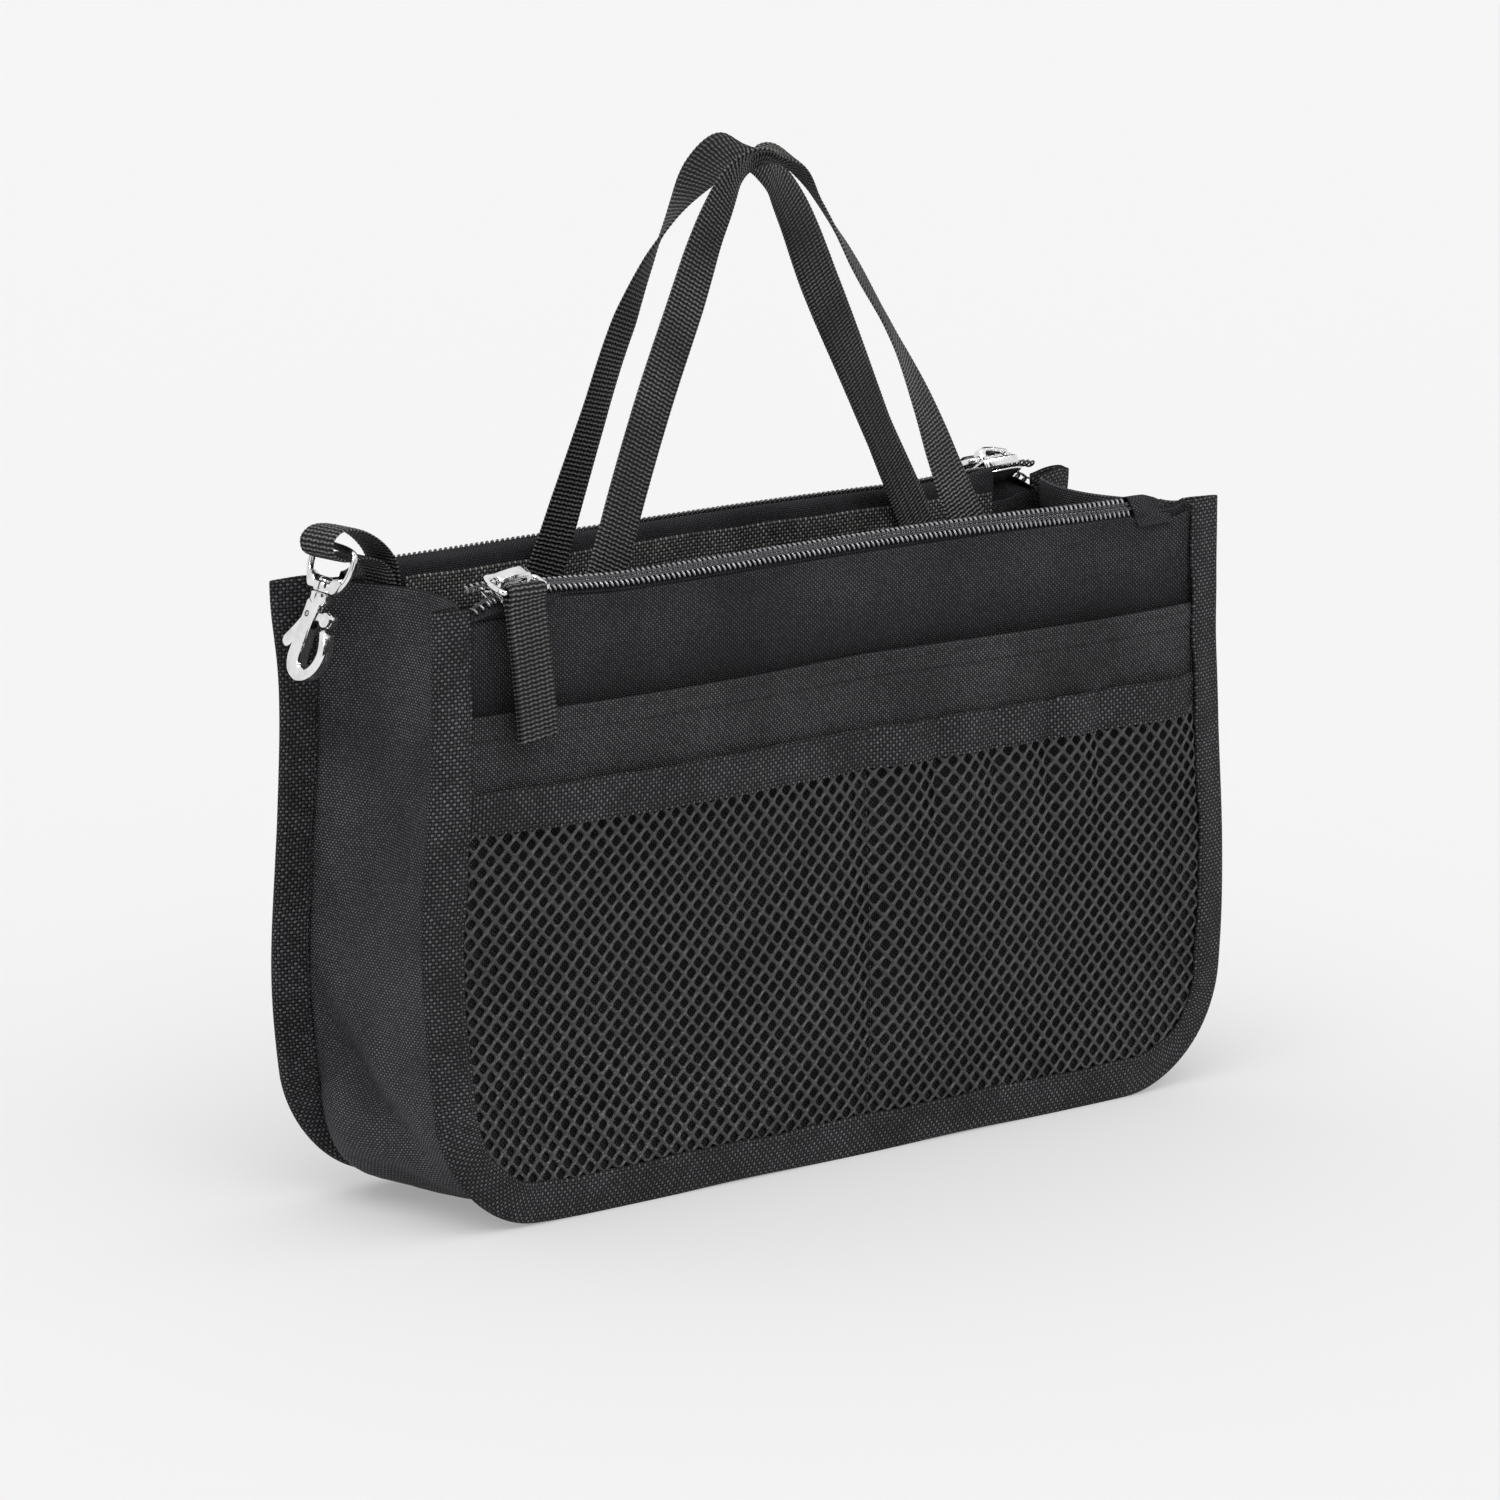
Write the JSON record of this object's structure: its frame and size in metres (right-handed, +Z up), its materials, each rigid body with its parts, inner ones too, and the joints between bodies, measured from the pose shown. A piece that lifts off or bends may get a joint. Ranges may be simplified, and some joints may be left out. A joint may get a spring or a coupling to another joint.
{
  "type": "toiletry bag",
  "caption": "Black cloth toiletry bag with two zipped wall pouches, an open middle, a net pocket, two webbing handles and a swivel snap hook.",
  "frame": {"origin": "bottom centre of the bag, on the surface it stands on", "axes": "+X along the length of the bag, away from the end with the snap hook; +Y across it, towards the rear wall; +Z up, towards the handles; the netted front wall faces -Y"},
  "size_m": [0.298, 0.082, 0.2816],
  "materials": {
    "cloth": "fine black polyester twill",
    "binding": "coarse black woven tape",
    "webbing": "ribbed black webbing",
    "zip_tape": "woven black zip tape",
    "net": "knitted black polyester net with a slight sheen",
    "coil": "black nylon",
    "plated": "bright nickel plate on zinc",
    "steel": "plain wire"
  },
  "bodies": {
    "bag": {"gusset": "cloth", "hook_strap": "webbing", "front_binding": "binding", "front_outer_panel": "cloth", "front_slip_pocket": "cloth", "front_net_pocket": "net", "front_net_pocket_tape": "binding", "front_inner_wall": "cloth", "front_inner_pocket": "cloth", "front_inner_pocket_tape": "binding", "front_outer_zip_tape": "zip_tape", "front_inner_zip_tape": "zip_tape", "front_outer_zip_teeth": "coil", "front_inner_zip_teeth": "coil", "front_zip_end_tab": "cloth", "front_handle_end_left": "webbing", "front_handle_end_right": "webbing", "rear_binding": "binding", "rear_outer_panel": "cloth", "rear_slip_pocket": "cloth", "rear_lower_pocket": "cloth", "rear_lower_pocket_tape": "binding", "rear_inner_wall": "cloth", "rear_inner_pocket": "cloth", "rear_inner_pocket_tape": "binding", "rear_outer_zip_tape": "zip_tape", "rear_inner_zip_tape": "zip_tape", "rear_outer_zip_teeth": "coil", "rear_inner_zip_teeth": "coil", "rear_zip_end_tab": "cloth", "rear_handle_end_left": "webbing", "rear_handle_end_right": "webbing"},
    "front_slider": {"front_zip_slider": "plated"},
    "front_pull": {"front_pull_loop": "plated"},
    "front_tab": {"front_pull_tab": "webbing"},
    "front_grip": {"front_handle": "webbing"},
    "rear_slider": {"rear_zip_slider": "plated"},
    "rear_pull": {"rear_pull_loop": "plated"},
    "rear_tab": {"rear_pull_tab": "webbing"},
    "rear_grip": {"rear_handle": "webbing"},
    "ring": {"hook_ring": "plated"},
    "hook": {"hook_body": "plated", "swivel_post": "plated", "gate_pin": "steel", "gate_spring": "steel"},
    "gate": {"hook_gate": "plated"}
  },
  "joints": [
    {"name": "front_zip_slide", "type": "slide", "parent": "bag", "child": "front_slider", "axis": [1, 0, 0], "range_m": [0, 0.22], "deforming": ["front_outer_zip_teeth", "front_inner_zip_teeth"]},
    {"name": "front_pull_hinge", "type": "hinge", "parent": "front_slider", "child": "front_pull", "pos_m": [-0.117, -0.0328, 0.17658], "axis": [-1, 0, 0], "range_deg": [0, 150]},
    {"name": "front_tab_hinge", "type": "hinge", "parent": "front_pull", "child": "front_tab", "pos_m": [-0.117, -0.0389, 0.17458], "axis": [-1, 0, 0], "range_deg": [0, 110]},
    {"name": "front_handle_fold", "type": "hinge", "parent": "bag", "child": "front_grip", "pos_m": [0, -0.02155, 0.1765], "axis": [1, 0, 0], "range_deg": [0, 85]},
    {"name": "rear_zip_slide", "type": "slide", "parent": "bag", "child": "rear_slider", "axis": [-1, 0, 0], "range_m": [0, 0.22], "deforming": ["rear_outer_zip_teeth", "rear_inner_zip_teeth"]},
    {"name": "rear_pull_hinge", "type": "hinge", "parent": "rear_slider", "child": "rear_pull", "pos_m": [0.117, 0.0328, 0.17658], "axis": [1, 0, 0], "range_deg": [0, 150]},
    {"name": "rear_tab_hinge", "type": "hinge", "parent": "rear_pull", "child": "rear_tab", "pos_m": [0.117, 0.0389, 0.17458], "axis": [1, 0, 0], "range_deg": [0, 110]},
    {"name": "rear_handle_fold", "type": "hinge", "parent": "bag", "child": "rear_grip", "pos_m": [0, 0.02155, 0.1765], "axis": [-1, 0, 0], "range_deg": [0, 85]},
    {"name": "ring_swing", "type": "hinge", "parent": "bag", "child": "ring", "pos_m": [-0.137, 0.016, 0.1809], "axis": [0, 0.9962, 0.0872], "range_deg": [0, 90]},
    {"name": "hook_swivel", "type": "hinge", "parent": "ring", "child": "hook", "pos_m": [-0.14041, 0.01689, 0.17069], "axis": [0.3156, -0.0827, 0.9453], "continuous": true},
    {"name": "gate_hinge", "type": "hinge", "parent": "hook", "child": "gate", "pos_m": [-0.14293, 0.01925, 0.16328], "axis": [-0.9489, -0.0275, 0.3144], "range_deg": [0, 22], "stiffness_Nm_per_rad": 0.02, "springref_deg": -20.05, "deforming": ["gate_spring"]}
  ]
}
